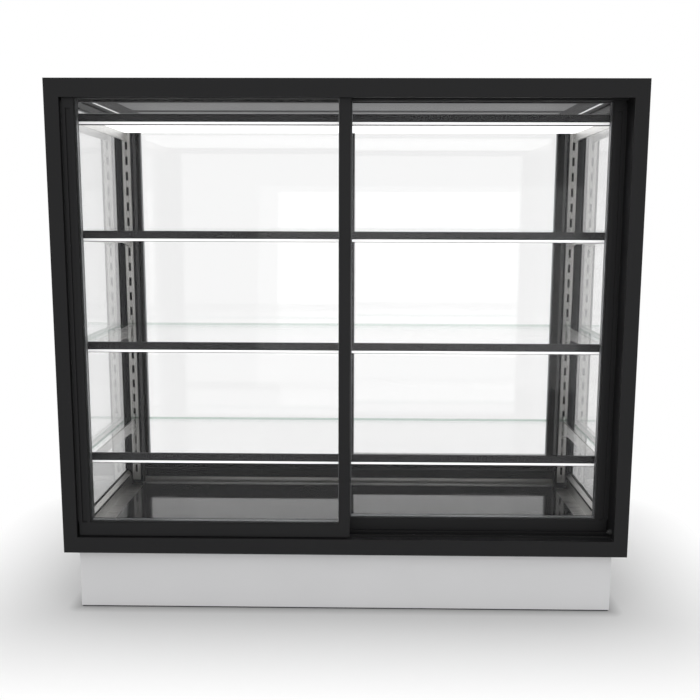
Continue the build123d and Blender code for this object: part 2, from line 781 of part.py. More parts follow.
def door_bumpers():
    """Rubber stops on the stile that an open door runs up to, over the sill and in the head rail."""
    stops = []
    for side, track in ((1, OUTER_TRACK), (-1, INNER_TRACK)):
        for z in STOP_LEVELS:
            centre = (side * (stile_inner - STOP_LENGTH / 2), front + track, z)
            stops.append(rod(centre, STOP_RADIUS, STOP_LENGTH, "X"))
    return stops + [half_turned(stop) for stop in stops]


# Sliding doors, built as the front left one in the outer track

door_middle = front + OUTER_TRACK
door_face = door_middle - DOOR_THICKNESS / 2
meeting_half = MEETING_STILE / 2
stile_edge = -door_outer + DOOR_STILE
pane_offset = DOOR_CAVITY / 2
groove_half = pane_offset + DOOR_PANE + FIT_GAP
roller_places = [-door_outer + ROLLER_INSET, meeting_half - ROLLER_INSET]


def door_glass_spans():
    """X and Z limits of a door's panes."""
    x_span = (stile_edge - PANE_GRIP, -meeting_half + PANE_GRIP)
    z_span = (DOOR_RAIL_TOP - SILL_PANE_GRIP, DOOR_HEAD_BOTTOM + PANE_GRIP)
    return x_span, z_span


def door_frame():
    """Two stiles, a head rail, a foot rail and the two roller axles."""
    thickness = (door_face, door_face + DOOR_THICKNESS)
    (glass_left, glass_right), (glass_low, glass_high) = door_glass_spans()
    groove = block(
        (glass_left - FIT_GAP, glass_right + FIT_GAP),
        around(door_middle, groove_half),
        (glass_low - FIT_GAP, glass_high + FIT_GAP),
    )
    rib_way = block(
        (-WIDTH, WIDTH),
        around(door_middle, RIB_WAY / 2),
        (door_bottom, sill_top + RIB_HEIGHT + RIB_WAY_GAP),
    )
    flute = block(
        around(-door_outer + DOOR_STILE / 2, GRIP_FLUTE_WIDTH / 2),
        (door_face, door_face + GRIP_FLUTE_DEPTH),
        (DOOR_RAIL_TOP, DOOR_HEAD_BOTTOM - GRIP_FLUTE_TOP_GAP),
    )
    outer_stile = block((-door_outer, stile_edge), thickness, (door_bottom, DOOR_TOP))
    inner_stile = block((-meeting_half, meeting_half), thickness, (door_bottom, DOOR_TOP))
    head = block((stile_edge, -meeting_half), thickness, (DOOR_HEAD_BOTTOM, DOOR_TOP))
    foot = block((stile_edge, -meeting_half), thickness, (door_bottom, DOOR_RAIL_TOP))
    axles = []
    for x in roller_places:
        foot -= block(
            around(x, ROLLER_RADIUS + ROLLER_POCKET_GAP),
            around(door_middle, ROLLER_POCKET / 2),
            (door_bottom, ROLLER_HEIGHT + ROLLER_RADIUS + ROLLER_POCKET_ROOF),
        )
        centre = (x, door_middle, ROLLER_HEIGHT)
        foot -= rod(centre, ROLLER_AXLE, ROLLER_AXLE_LENGTH, "Y")
        axles.append(rod(centre, ROLLER_AXLE, ROLLER_AXLE_LENGTH, "Y"))
    bars = [outer_stile - groove - rib_way - flute, inner_stile - groove - rib_way]
    bars += [head - groove, foot - groove - rib_way]
    return bars + axles


def door_panes():
    """The outer and inner pane of a door's double glazing."""
    x_span, z_span = door_glass_spans()
    panes = []
    for side in (-1, 1):
        near = door_middle + side * pane_offset
        panes.append(block(x_span, sorted((near, near + side * DOOR_PANE)), z_span))
    return panes


def door_spacer():
    """The bar between a door's two panes, showing a little past the stiles and the foot rail."""
    (left, right), (low, high) = door_glass_spans()
    width = PANE_GRIP + SPACER_SHOW
    foot_width = SILL_PANE_GRIP + SPACER_SHOW
    y_span = (door_middle - pane_offset, door_middle + pane_offset)
    ring = block((left, right), y_span, (low, high))
    return [ring - block((left + width, right - width), y_span, (low + foot_width, high - PANE_GRIP))]


def door_roller(x):
    """Grooved nylon wheel that straddles the track's rib."""
    centre = (x, door_middle, ROLLER_HEIGHT)
    groove = rod(centre, ROLLER_RADIUS + 1.0, ROLLER_GROOVE, "Y")
    groove -= rod(centre, ROLLER_TREAD, ROLLER_GROOVE, "Y")
    wheel = rod(centre, ROLLER_RADIUS, ROLLER_WIDTH, "Y") - groove
    return [wheel - rod(centre, ROLLER_AXLE + RUNNING_GAP, 2 * ROLLER_WIDTH, "Y")]


def in_inner_track_right(shape):
    """The front left door's piece as the front right door's, one track further in."""
    return Pos(0, INNER_TRACK - OUTER_TRACK, 0) * mirror(shape, about=Plane.YZ)


def in_place(shape):
    return shape


# Each door's place: its name, and how the front left door's pieces get there.
door_places = {
    "front_left": in_place,
    "front_right": in_inner_track_right,
    "rear_right": half_turned,
    "rear_left": lambda shape: half_turned(in_inner_track_right(shape)),
}


def save_doors():
    """Each door's frame, panes, spacer and two rollers."""
    pieces = {
        "door_frame": door_frame(),
        "door_panes": door_panes(),
        "door_spacer": door_spacer(),
        "roller_outer": door_roller(roller_places[0]),
        "roller_meeting": door_roller(roller_places[1]),
    }
    for place, move in door_places.items():
        for name, shapes in pieces.items():
            save(f"{place}_{name}", *[move(shape) for shape in shapes])


def main():
    os.makedirs("parts", exist_ok=True)
    save("base_front_panel", base_front_panel())
    save("base_rear_panel", base_rear_panel())
    save("base_side_panels", *base_side_panels())
    save("base_floor_plate", base_floor_plate())
    save("screws", *screws())
    save("deck_pan", deck_pan())
    save("deck_glass", deck_glass())
    save("deck_beads", *deck_beads())
    save("corner_stiles", *corner_stiles())
    save("front_top_track", top_track())
    save("rear_top_track", half_turned(top_track()))
    save("front_bottom_track", bottom_track())
    save("rear_bottom_track", half_turned(bottom_track()))
    save("side_top_rails", *side_top_rails())
    save("side_sills", *side_sills())
    save("side_panes", *side_panes())
    save("side_spacers", *side_spacers())
    save("roof_panel", roof_panel())
    save("ceiling_liner", ceiling_liner())
    save("canopy_panel", shelf_plate(CANOPY_TOP))
    save("shelf_glasses", *[shelf_plate(top) for top in SHELF_TOPS.values()])
    save("light_bars", *[light_bar(top) for top in light_levels()])
    save("led_diffusers", *[led_diffuser(top) for top in light_levels()])
    save("shelf_brackets", *shelf_brackets())
    save("corner_posts", *corner_posts())
    save("slotted_strips", *slotted_strips())
    save("air_baffle", air_baffle())
    save("fan_housing", fan_housing())
    save("fan_impeller", fan_impeller())
    save("air_heater", *air_heater())
    save("led_driver", led_driver())
    save("controller", controller())
    for name, (x, z) in button_centres().items():
        save(f"{name}_button", controller_button(x, z))
    save("switch_housing", switch_housing())
    save("power_rocker", power_rocker())
    save("cable_gland", cable_gland())
    save("brush_seals", *brush_seals())
    save("door_bumpers", *door_bumpers())
    save_doors()


main()
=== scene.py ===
import math

import bmesh
import bpy
from bpy.props import FloatProperty, FloatVectorProperty, IntProperty, PointerProperty
from mathutils import Matrix, Vector


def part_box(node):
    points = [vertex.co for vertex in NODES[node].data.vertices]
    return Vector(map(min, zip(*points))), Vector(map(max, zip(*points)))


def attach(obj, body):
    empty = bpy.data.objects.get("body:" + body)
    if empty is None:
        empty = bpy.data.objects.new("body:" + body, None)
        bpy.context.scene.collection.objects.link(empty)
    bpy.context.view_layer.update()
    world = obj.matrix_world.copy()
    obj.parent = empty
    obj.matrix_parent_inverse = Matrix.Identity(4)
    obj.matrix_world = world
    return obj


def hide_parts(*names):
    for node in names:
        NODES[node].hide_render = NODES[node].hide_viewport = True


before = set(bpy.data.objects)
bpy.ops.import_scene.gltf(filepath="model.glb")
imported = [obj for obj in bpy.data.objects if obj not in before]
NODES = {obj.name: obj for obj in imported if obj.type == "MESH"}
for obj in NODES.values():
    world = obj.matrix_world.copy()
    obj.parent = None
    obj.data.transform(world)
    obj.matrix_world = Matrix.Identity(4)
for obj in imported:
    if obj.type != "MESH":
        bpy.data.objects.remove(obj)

bl_info = {
    "name": "Heated drop-in display case",
    "version": (1, 0, 0),
    "blender": (4, 5, 0),
    "location": "3D View > Sidebar > Display case",
    "description": "Finishes the display case's frame, glass, shelves, lights and controls",
    "category": "Object",
}

MM = 0.001
DOORS = ("front_left", "front_right", "rear_left", "rear_right")

# Places in the part's frame, in metres. The doors' channels and the base's faces are measured
# from the middle of the case, either way.
OUTER_CHANNEL, INNER_CHANNEL = 0.277, 0.237
BASE_SIDE, BASE_FRONT, BASE_REAR = 0.5725, 0.28, 0.26
CONTROLS_LEVEL, CONTROLLER_X, SWITCH_X = 0.078, -0.42, -0.33
SMOKED_FACE = 0.2654


def linear(code):
    """The linear colour of an sRGB hex value."""
    values = [int(code[i:i + 2], 16) / 255 for i in (1, 3, 5)]
    return tuple(v / 12.92 if v <= 0.04045 else ((v + 0.055) / 1.055) ** 2.4 for v in values)


def colour(title, about, code):
    """A colour that the panel's user can change."""
    return FloatVectorProperty(
        name=title, description=about, subtype="COLOR", size=3, min=0.0, max=1.0,
        default=linear(code),
    )


def length(title, about, millimetres):
    """A length that the panel's user can change."""
    return FloatProperty(
        name=title, description=about, unit="LENGTH", min=0.0, precision=5,
        default=millimetres * MM,
    )


class CaseColours(bpy.types.PropertyGroup):
    """The colours of the display case's finishes."""

    frame_black: colour("Frame", "Powder coat of the uprights, doors and rails", "#19191A")
    base_grey: colour("Base", "Powder coat of the base's panels", "#D6D6D7")
    bar_grey: colour("Light bars", "Anodised bars along the shelves' front edges", "#272729")
    post_grey: colour("Posts", "Painted corner posts", "#1F1F21")
    liner_grey: colour("Ceiling", "Painted border of the ceiling", "#242425")
    ceiling_panel: colour("Ceiling panels", "Painted panels inside that border", "#7E7E7F")
    stainless: colour("Stainless steel", "Brackets, beads, deck pan and heater", "#B9B8B6")
    # Painted shade: this steel is made darker than the other stainless to stand for the shade that
    # the strips sit in.
    strip: colour("Slotted strips", "Duller steel of the slotted strips", "#9F9E9C")
    galvanised: colour("Galvanised steel", "Baffle across the base", "#A9ABAD")
    # Painted shade: this zinc is darker than bare zinc so that the gap under the base's panels
    # reads as a dark line.
    foot_shade_zinc: colour("Weathered zinc", "The dull floor plate", "#55575A")
    driver: colour("Driver", "Enamel of the LED driver", "#DADADA")
    deck: colour("Deck glass", "Glass ceramic of the heated deck", "#1E1E1F")
    spacer: colour("Spacers", "Aluminium between the panes", "#737476")
    glass: colour("Glass", "What a face of the glass lets through", "#FEFEFE")
    side_glass: colour("Side glass", "What a face of the side glazing lets through", "#F8F8F8")
    glass_edge: colour("Glass edges", "Polished edges of the shelves", "#B4C6BE")
    light: colour("Light", "The lit strips and the canopy", "#FFFFFF")
    plastic: colour("Black plastic", "Housings and the fan", "#1B1B1C")
    smoked: colour("Display window", "Smoked acrylic over the digits", "#0C0C0D")
    key: colour("Keys", "The controller's keys", "#4A4B4D")
    nylon: colour("Rollers", "Natural nylon", "#DDDAD0")
    rubber: colour("Rubber", "Used only where the frame brings no rubber or pile", "#0E0E0E")
    display: colour("Display", "Lit digits of the controller", "#FF5A3C")
    marking: colour("Marks", "Printed marks on the keys and the switch", "#E8E8E6")


class CaseSizes(bpy.types.PropertyGroup):
    """The real sizes of the case's fine detail."""

    orange_peel: length("Orange peel", "Wavelength of the powder coat's surface", 2.4)
    brush_grain: length("Brush grain", "Spacing of the brushed lines, coarse enough to show", 0.8)
    spangle: length("Spangle", "Zinc crystals on galvanised sheet", 14.0)
    spark: length("Spark grain", "Texture of moulded plastic and rubber", 1.2)
    dots: length("Dots", "Spacing of the dots under the deck's glass", 6.0)
    gasket: length("Gasket", "Width of the glazing gaskets", 1.5)
    tuft_pitch: length("Tuft pitch", "Spacing of the brush seals' tufts", 4.0)
    recess: length("Screw recess", "Length of the cross recess in a screw head", 4.4)


class CaseStage(bpy.types.PropertyGroup):
    """The floor, the lamps and the camera."""

    floor: colour("Floor", "The pale floor", "#D9D9D9")
    # Also the distance over which the painted contact shadow at the base's foot fades out.
    near: length("Shadow", "How far from the base the floor keeps its own shade", 30.0)
    far: length("White", "How far from the base the floor has turned white", 370.0)
    lens: FloatProperty(
        name="Lens", description="Focal length on a 36 mm sensor", unit="CAMERA", default=45.789
    )
    sky: FloatProperty(
        name="Sky", description="Strength of the even light from all round", default=0.9, min=0.0
    )
    bounces: IntProperty(
        name="Panes", description="Clear faces that one ray may pass", default=64, min=8
    )


# Nodes and materials


def add_node(tree, kind, inputs=None, **settings):
    """Add a node, set its settings, and fill its inputs with values or with links."""
    made = tree.nodes.new(kind)
    for name, value in settings.items():
        setattr(made, name, value)
    for name, value in (inputs or {}).items():
        socket = made.inputs[name]
        if isinstance(value, bpy.types.NodeSocket):
            tree.links.new(value, socket)
        else:
            socket.default_value = value
    return made


def blank_material(name):
    """A material with only its output node."""
    material = bpy.data.materials.new(name)
    material.use_nodes = True
    material.node_tree.nodes.clear()
    output = add_node(material.node_tree, "ShaderNodeOutputMaterial")
    return material, material.node_tree, output


def solid_surface(tree, output, inputs):
    """A surface that light doesn't pass, with the inputs given."""
    surface = add_node(tree, "ShaderNodeBsdfPrincipled", inputs)
    tree.links.new(surface.outputs[0], output.inputs["Surface"])


def shade(rgb, factor):
    """A colour made darker or lighter."""
    return tuple(min(1.0, v * factor) for v in rgb) + (1.0,)


def cloudy(tree, size, detail=3.0, stretch=(1, 1, 1)):
    """Noise over the piece, with spots of a real size in metres."""
    place = add_node(tree, "ShaderNodeTexCoord").outputs["Object"]
    turned = add_node(tree, "ShaderNodeMapping", {"Vector": place, "Scale": stretch})
    inputs = {"Vector": turned.outputs["Vector"], "Scale": 1 / size, "Detail": detail}
    return add_node(tree, "ShaderNodeTexNoise", inputs).outputs["Fac"]


def ridges(tree, height, strength, distance):
    """The normal of a surface that rises and falls with a pattern."""
    inputs = {"Height": height, "Strength": strength, "Distance": distance}
    return add_node(tree, "ShaderNodeBump", inputs).outputs["Normal"]


def spread(tree, value, low, high, start=0.3, end=0.7):
    """A number that runs from low to high as the pattern does."""
    inputs = {"Value": value, "From Min": start, "From Max": end, "To Min": low, "To Max": high}
    return add_node(tree, "ShaderNodeMapRange", inputs).outputs["Result"]


def between(tree, value, one, other):
    """A colour that runs from one to the other as the pattern does."""
    mix = add_node(tree, "ShaderNodeMix", {0: value, 6: one, 7: other}, data_type="RGBA")
    return mix.outputs[2]


def unsigned(tree, value):
    """A number without its sign."""
    return add_node(tree, "ShaderNodeMath", {0: value}, operation="ABSOLUTE").outputs[0]


def powder_coat(name, rgb, sizes, roughness, shine):
    """Polyester powder coat: sprayed dry and baked, so its satin skin has a faint orange peel."""
    material, tree, output = blank_material(name)
    cloud = cloudy(tree, 0.18, detail=2.0)
    peel = cloudy(tree, sizes.orange_peel, detail=1.0)
    solid_surface(tree, output, {
        "Base Color": between(tree, cloud, shade(rgb, 0.96), shade(rgb, 1.04)),
        "Roughness": spread(tree, cloud, roughness - 0.03, roughness + 0.03),
        "Specular IOR Level": shine,
        "Normal": ridges(tree, peel, strength=0.08, distance=0.00006),
    })
    return material


def brushed_metal(name, rgb, grain, along, roughness):
    """Sheet metal brushed one way: long fine lines that spread a highlight across them."""
    material, tree, output = blank_material(name)
    stretch = [0.012 if axis == along else 1.0 for axis in "XYZ"]
    lines = cloudy(tree, grain, detail=2.0, stretch=stretch)
    solid_surface(tree, output, {
        "Base Color": between(tree, lines, shade(rgb, 0.93), shade(rgb, 1.05)),
        "Metallic": 1.0,
        "Roughness": spread(tree, lines, roughness - 0.06, roughness + 0.08),
        "Normal": ridges(tree, lines, strength=0.3, distance=0.00003),
    })
    return material


def galvanised_sheet(name, rgb, spangle):
    """Hot-dip galvanised sheet: zinc crystals, each a little lighter or duller than the next."""
    material, tree, output = blank_material(name)
    place = add_node(tree, "ShaderNodeTexCoord").outputs["Object"]
    crystals = add_node(tree, "ShaderNodeTexVoronoi", {"Vector": place, "Scale": 1 / spangle})
    parts = add_node(tree, "ShaderNodeSeparateColor", {"Color": crystals.outputs["Color"]})
    tone = parts.outputs["Red"]
    solid_surface(tree, output, {
        "Base Color": between(tree, tone, shade(rgb, 0.86), shade(rgb, 1.08)),
        "Metallic": 1.0,
        "Roughness": spread(tree, tone, 0.36, 0.52, start=0.0, end=1.0),
    })
    return material


def clear_glass(name, rgb, across, slant, square=0.006, edge=None, coated=None):
    """Float glass: it mirrors a little of what faces it, and more at a slant, and stands flat and
    thin enough that nothing behind it moves. Polished edges, which lie along the other two axes,
    can have a green of their own. A heat coating, on the faces nearer the middle than a
    distance, mirrors more than the bare faces do."""
    material, tree, output = blank_material(name)
    place = add_node(tree, "ShaderNodeTexCoord")
    normal = add_node(tree, "ShaderNodeSeparateXYZ", {0: place.outputs["Normal"]})
    coating, falloff = 8, 5.0
    if coated:
        spot = add_node(tree, "ShaderNodeSeparateXYZ", {0: place.outputs["Object"]})
        reach = unsigned(tree, spot.outputs[across])
        slant = spread(tree, reach, coating * slant, slant, start=coated, end=coated + 0.001)
    flat = spread(tree, unsigned(tree, normal.outputs[across]), 0.0, 1.0, start=0.4, end=0.6)
    body = between(tree, flat, (*(edge or rgb), 1), (*rgb, 1))
    mirror = add_node(
        tree, "ShaderNodeBsdfAnisotropic", {"Color": (1, 1, 1, 1), "Roughness": 0.0}
    )
    clear = add_node(tree, "ShaderNodeBsdfTransparent", {"Color": body})
    tilt = add_node(tree, "ShaderNodeLayerWeight", {"Blend": 0.5}).outputs["Facing"]
    steep = add_node(tree, "ShaderNodeMath", {0: tilt, 1: falloff}, operation="POWER").outputs[0]
    share = add_node(
        tree, "ShaderNodeMath", {0: steep, 1: slant, 2: square}, operation="MULTIPLY_ADD"
    )
    mixed = {0: share.outputs[0], 1: clear.outputs[0], 2: mirror.outputs[0]}
    pane = add_node(tree, "ShaderNodeMixShader", mixed)
    tree.links.new(pane.outputs[0], output.inputs["Surface"])
    return material


def glass_ceramic(name, rgb, spacing):
    """Black glass ceramic: a polished hot plate with the faint dots of its printed underside."""
    material, tree, output = blank_material(name)
    place = add_node(tree, "ShaderNodeTexCoord").outputs["Object"]
    inputs = {"Vector": place, "Scale": 1 / spacing, "Randomness": 0.0}
    dots = add_node(tree, "ShaderNodeTexVoronoi", inputs, voronoi_dimensions="2D")
    printed = spread(tree, dots.outputs["Distance"], 1.0, 0.0, start=0.18, end=0.26)
    wipe = cloudy(tree, 0.09, detail=4.0, stretch=(1, 0.35, 1))
    solid_surface(tree, output, {
        "Base Color": between(tree, printed, shade(rgb, 1.0), shade(rgb, 1.12)),
        "Roughness": spread(tree, wipe, 0.03, 0.09),
        "IOR": 1.53,
    })
    return material


def opal_light(name, rgb, strength):
    """Opal acrylic lit from inside: an even glow with a trace of its own gloss."""
    material, tree, output = blank_material(name)
    glow = cloudy(tree, 0.25, detail=1.0)
    solid_surface(tree, output, {
        "Base Color": between(tree, glow, shade(rgb, 0.93), shade(rgb, 0.96)),
        "Roughness": 0.35,
        "Emission Color": (*rgb, 1),
        "Emission Strength": strength,
    })
    return material


def moulded_plastic(name, rgb, sizes, roughness, shine=0.5):
    """Moulded ABS, nylon or rubber: a matt skin with the fine spark grain of its mould."""
    material, tree, output = blank_material(name)
    spark = cloudy(tree, sizes.spark, detail=2.0)
    solid_surface(tree, output, {
        "Base Color": between(tree, spark, shade(rgb, 0.92), shade(rgb, 1.08)),
        "Roughness": spread(tree, spark, roughness - 0.05, roughness + 0.05),
        "Specular IOR Level": shine,
        "Normal": ridges(tree, spark, strength=0.35, distance=0.00005),
    })
    return material


def ready(name, make, *values, **looks):
    """The material of that name, made here only if there is none yet. The frame brings plain
    ones of its own for its slots, so "rubber" and "pile" are the frame's, whatever is asked."""
    return bpy.data.materials.get(name) or make(name, *values, **looks)


def base_coat(scene):
    """The base's light grey powder coat, which its louvre hoods share."""
    rgb, sizes = scene.case_colours.base_grey, scene.case_sizes
    return ready("powder_coat_grey", powder_coat, rgb, sizes, roughness=0.45, shine=0.4)


def matt_rubber(scene):
    """The rubber that gaskets, seals and stops share: the frame's own, where it brings one."""
    rgb, sizes = scene.case_colours.rubber, scene.case_sizes
    return ready("rubber", moulded_plastic, rgb, sizes, roughness=0.75, shine=0.15)


def give(material, *names):
    """Put a material on every slot of some CAD nodes."""
    for name in names:
        piece = NODES[name]
        if not piece.material_slots:
            piece.data.materials.append(material)
        for slot in piece.material_slots:
            slot.material = material


def give_doors(material, part, side=""):
    """Put a material on one part of every door, or of the doors on one side."""
    give(material, *[f"{door}_door_{part}" for door in DOORS if door.startswith(side)])


# Modelling


def deselect():
    """Leave object mode with nothing selected."""
    if bpy.context.object and bpy.context.object.mode != "OBJECT":
        bpy.ops.object.mode_set(mode="OBJECT")
    bpy.ops.object.select_all(action="DESELECT")


def pick(piece):
    """Select one piece alone."""
    deselect()
    bpy.context.view_layer.objects.active = piece
    piece.select_set(True)


def settle(name):
    """Name the primitive just added, and put its place in its mesh."""
    piece = bpy.context.object
    piece.name = name
    bpy.ops.object.transform_apply(location=True, rotation=True, scale=True)
    return piece


def add_block(name, low, high):
    """A block between two corners."""
    deselect()
    middle = [(a + b) / 2 for a, b in zip(low, high)]
    size = [b - a for a, b in zip(low, high)]
    bpy.ops.mesh.primitive_cube_add(size=1.0, location=middle, scale=size)
    return settle(name)


def add_rod(name, centre, radius, length, turn, sides=32):
    """A round bar, turned from upright by three angles."""
    deselect()
    bpy.ops.mesh.primitive_cylinder_add(
        vertices=sides, radius=radius, depth=length, location=centre, rotation=turn
    )
    return settle(name)


def add_hoop(name, radius, thickness):
    """A thin hoop round the Y axis."""
    deselect()
    bpy.ops.mesh.primitive_torus_add(
        major_radius=radius, minor_radius=thickness / 2, major_segments=32, minor_segments=8,
        rotation=(math.pi / 2, 0, 0),
    )
    return settle(name)


def add_modifier(piece, kind, **settings):
    """Add a modifier and apply it at once."""
    pick(piece)
    made = piece.modifiers.new(kind.title(), kind)
    for name, value in settings.items():
        setattr(made, name, value)
    bpy.ops.object.modifier_apply(modifier=made.name)
    return piece


def ease_edges(piece, width):
    """Round the sharp edges a little."""
    return add_modifier(piece, "BEVEL", width=width, segments=2, limit_method="ANGLE")


def open_edit(piece, kind, wanted):
    """Open one piece in edit mode with the faces or edges selected that a test picks."""
    pick(piece)
    bpy.context.tool_settings.mesh_select_mode = (False, kind == "EDGE", kind == "FACE")
    bpy.ops.object.mode_set(mode="EDIT")
    bpy.ops.mesh.select_all(action="DESELECT")
    mesh = bmesh.from_edit_mesh(piece.data)
    for item in mesh.faces if kind == "FACE" else mesh.edges:
        if wanted(item):
            item.select_set(True)
    bmesh.update_edit_mesh(piece.data)


def both_ends(test):
    """A test that an edge passes if both of its ends pass another."""
    return lambda edge: all(test(vert.co) for vert in edge.verts)


def round_edges(piece, wanted, width, segments=3):
    """Round the edges that a test picks."""
    open_edit(piece, "EDGE", wanted)
    bpy.ops.mesh.bevel(offset=width, segments=segments, affect="EDGES")
    bpy.ops.object.mode_set(mode="OBJECT")
    return piece


def add_ring(name, low, high, across, width):
    """A rectangular ring between two corners, open along one axis."""
    piece = add_block(name, low, high)
    open_edit(piece, "FACE", lambda face: abs(face.normal["XYZ".index(across)]) > 0.9)
    bpy.ops.mesh.inset(thickness=width, use_individual=True)
    bpy.ops.mesh.bridge_edge_loops()
    bpy.ops.object.mode_set(mode="OBJECT")
    return piece


def at(x, y, z, turn=0.0, axis="Z"):
    """The move to a place, after a turn about one axis."""
    return Matrix.Translation((x, y, z)) @ Matrix.Rotation(turn, 4, axis)


def copy_of(piece, name):
    """A copy with its own mesh."""
    made = piece.copy()
    made.data = piece.data.copy()
    made.name = name
    bpy.context.collection.objects.link(made)
    return made


def move_mesh(piece, matrix):
    """Move a piece's mesh, and leave its object at the origin."""
    piece.data.transform(matrix)
    if matrix.determinant() < 0:
        pick(piece)
        bpy.ops.object.mode_set(mode="EDIT")
        bpy.ops.mesh.select_all(action="SELECT")
        bpy.ops.mesh.flip_normals()
        bpy.ops.object.mode_set(mode="OBJECT")
    return piece


def join(pieces, name):
    """Join pieces into one object."""
    deselect()
    for piece in pieces:
        piece.select_set(True)
    bpy.context.view_layer.objects.active = pieces[0]
    if len(pieces) > 1:
        bpy.ops.object.join()
    made = bpy.context.object
    made.name = name
    return made


def repeat(piece, moves, name):
    """Copies of a piece, each moved to its own place, joined into one object."""
    made = [move_mesh(copy_of(piece, name), move) for move in moves]
    bpy.data.objects.remove(piece)
    return join(made, name)


def finish_piece(piece, material, body="case", replaced=()):
    """Give a new piece its material and the body that it rides on."""
    piece.data.materials.clear()
    piece.data.materials.append(material)
    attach(piece, body)
    if replaced:
        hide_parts(*replaced)
    return piece


# Operators


class CASE_OT_frame(bpy.types.Operator):
    """Powder coat the uprights, rails, roof and door frames"""

    bl_idname = "case.frame"
    bl_label = "Frame"

    def execute(self, context):
        colours, sizes = context.scene.case_colours, context.scene.case_sizes
        black = powder_coat(
            "powder_coat_black", colours.frame_black, sizes, roughness=0.5, shine=0.18
        )
        give(
            black, "corner_stiles", "front_top_track", "rear_top_track", "front_bottom_track",
            "rear_bottom_track", "side_top_rails", "side_sills", "roof_panel",
        )
        give_doors(black, "frame")
        return {"FINISHED"}


class CASE_OT_base(bpy.types.Operator):
    """Finish the base's panels, floor, baffle and LED driver"""

    bl_idname = "case.base"
    bl_label = "Base"

    def execute(self, context):
        colours, sizes = context.scene.case_colours, context.scene.case_sizes
        give(base_coat(context.scene), "base_front_panel", "base_rear_panel", "base_side_panels")
        for name, rgb, node in (
            ("galvanised_sheet", colours.galvanised, "air_baffle"),
            # The floor plate's zinc is darkened as painted shade for the gap under the base.
            ("zinc_darkened_as_foot_shade", colours.foot_shade_zinc, "base_floor_plate"),
        ):
            give(galvanised_sheet(name, rgb, sizes.spangle), node)
        enamel = powder_coat("driver_enamel", colours.driver, sizes, roughness=0.4, shine=0.5)
        give(enamel, "led_driver")
        return {"FINISHED"}


class CASE_OT_steel(bpy.types.Operator):
    """Finish the stainless strips, brackets, beads, pan and heater, and the panes' spacers"""

    bl_idname = "case.steel"
    bl_label = "Steel and aluminium"

    def execute(self, context):
        colours, grain = context.scene.case_colours, context.scene.case_sizes.brush_grain
        for along, rgb, names in (
            ("X", colours.stainless, ("deck_pan", "air_heater")),
            ("Y", colours.stainless, ("shelf_brackets", "deck_beads")),
            # The strips' darker steel holds painted shade.
            ("Z", colours.strip, ("slotted_strips", "screws")),
        ):
            name = f"brushed_stainless_{along}"
            give(brushed_metal(name, rgb, grain, along, roughness=0.3), *names)
        spacer = brushed_metal("mill_aluminium", colours.spacer, grain, "Z", roughness=0.38)
        give(spacer, "side_spacers")
        give_doors(spacer, "spacer")
        return {"FINISHED"}


class CASE_OT_glass(bpy.types.Operator):
    """Glaze the doors, the sides, the shelves and the heated deck"""

    bl_idname = "case.glass"
    bl_label = "Glass"

    def execute(self, context):
        colours, sizes = context.scene.case_colours, context.scene.case_sizes
        for side, square in (("front", 0.006), ("rear", 0.02)):
            panes = clear_glass(f"{side}_glass", colours.glass, "Y", slant=0.9, square=square)
            give_doors(panes, "panes", side)
        coating = 0.587
        panes = clear_glass("side_glass", colours.side_glass, "X", slant=0.22, coated=coating)
        give(panes, "side_panes")
        shelves = clear_glass(
            "shelf_glass", colours.glass, "Z", slant=0.9, edge=colours.glass_edge
        )
        give(shelves, "shelf_glasses")
        give(glass_ceramic("glass_ceramic", colours.deck, sizes.dots), "deck_glass")
        return {"FINISHED"}


class CASE_OT_lights(bpy.types.Operator):
    """Light the canopy and the strips, and finish the bars, posts and ceiling"""

    bl_idname = "case.lights"
    bl_label = "Lights"

    def execute(self, context):
        colours, sizes = context.scene.case_colours, context.scene.case_sizes
        give(opal_light("opal_canopy", colours.light, strength=1.2), "canopy_panel")
        give(opal_light("lit_diffuser", colours.light, strength=0.6), "led_diffusers")
        for name, rgb, roughness, shine, node in (
            ("anodised_bar", colours.bar_grey, 0.5, 0.15, "light_bars"),
            ("painted_post", colours.post_grey, 0.6, 0.08, "corner_posts"),
            ("painted_liner", colours.liner_grey, 0.5, 0.2, "ceiling_liner"),
        ):
            give(powder_coat(name, rgb, sizes, roughness, shine), node)
        grey = powder_coat(
            "ceiling_enamel", colours.ceiling_panel, sizes, roughness=0.4, shine=0.4
        )
        finish_piece(self.ceiling_panels(), grey)
        lit = opal_light("ceiling_diffuser", colours.light, strength=0.3)
        finish_piece(self.ceiling_strips(), lit)
        # Painted light: the backing is no lamp, but it glows to light the ceiling panels above it.
        lit = opal_light("backing_painted_glow", colours.light, strength=0.45)
        finish_piece(self.canopy_backing(), lit)
        return {"FINISHED"}

    def ceiling_panels(self):
        """Two painted panels under the ceiling, with an open seam between them."""
        low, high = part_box("ceiling_liner")
        half_width, thickness, border = 0.485, 0.0012, 0.012
        seam_front, seam_rear = -0.052, -0.016
        panels = []
        for front, rear in ((low.y + border, seam_front), (seam_rear, high.y - border)):
            corners = ((-half_width, front, low.z - thickness), (half_width, rear, low.z))
            panels.append(ease_edges(add_block("ceiling_panel", *corners), width=0.0005))
        return join(panels, "ceiling_inner_panels")

    def ceiling_strips(self):
        """A lit strip from front to rear at each end of the ceiling."""
        low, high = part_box("ceiling_liner")
        half_width, thickness, gap = 0.002, 0.002, 0.006
        strips = []
        for middle in (-0.535, 0.535):
            corners = (
                (middle - half_width, low.y + gap, low.z - thickness),
                (middle + half_width, high.y - gap, low.z),
            )
            strips.append(ease_edges(add_block("ceiling_light", *corners), width=0.0006))
        return join(strips, "ceiling_light_strips")

    def canopy_backing(self):
        """The thin sheet on top of the canopy, which glows upward as painted light on the ceiling
        above it.
        """
        low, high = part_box("canopy_panel")
        gap, thickness = 0.001, 0.001
        corners = (
            (low.x + gap, low.y + gap, high.z), (high.x - gap, high.y, high.z + thickness)
        )
        return ease_edges(add_block("canopy_backing", *corners), width=0.0003)


